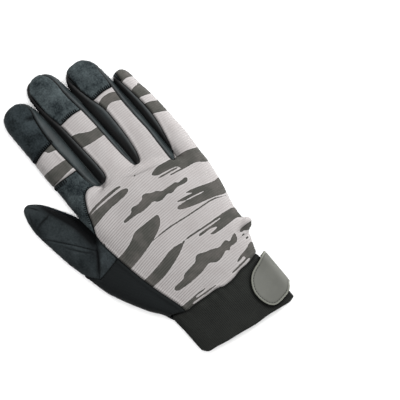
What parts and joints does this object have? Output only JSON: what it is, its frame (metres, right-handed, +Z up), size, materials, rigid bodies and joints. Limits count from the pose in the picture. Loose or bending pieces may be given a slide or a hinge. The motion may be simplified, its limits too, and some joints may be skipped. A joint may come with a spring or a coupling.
{
  "type": "mechanic glove",
  "caption": "Empty right-hand work glove lying on its suede palm, with a camouflage knit back, suede fingertip caps, an elastic cuff and a grey pull tab.",
  "frame": {"origin": "middle of the glove's footprint, on the surface it lies on", "axes": "+Y from the cuff to the fingertips, +X from the thumb to the little finger, +Z up out of the back of the hand"},
  "size_m": [0.1322, 0.2442, 0.022],
  "materials": {
    "palm_suede": "matt charcoal suede with a short nap",
    "back_suede": "matt charcoal suede with a short nap",
    "thumb_suede": "matt charcoal suede, a little lighter",
    "camouflage_knit": "ribbed stretch knit, pale grey with olive-grey camouflage shapes",
    "side_strip": "smooth dark stretch cloth",
    "black_knit": "black knit",
    "elastic": "black ribbed elastic, gathered at its seam",
    "tab_rubber": "smooth grey rubber"
  },
  "bodies": {
    "root": {"palm_panel": "palm_suede", "thumb_front_panel": "palm_suede", "index_tip_cap": "back_suede", "middle_tip_cap": "back_suede", "ring_tip_cap": "back_suede", "index_base_patch": "back_suede", "thumb_tip_panel": "thumb_suede", "thumb_base_panel": "thumb_suede", "thumb_root_patch": "thumb_suede", "back_panel": "camouflage_knit", "index_knuckle_panel": "camouflage_knit", "fourchette_index_middle": "side_strip", "fourchette_middle_ring": "side_strip", "fourchette_ring_little": "side_strip", "side_gusset": "black_knit", "wrist_cuff": "elastic", "wrist_tab": "tab_rubber"}
  },
  "joints": []
}
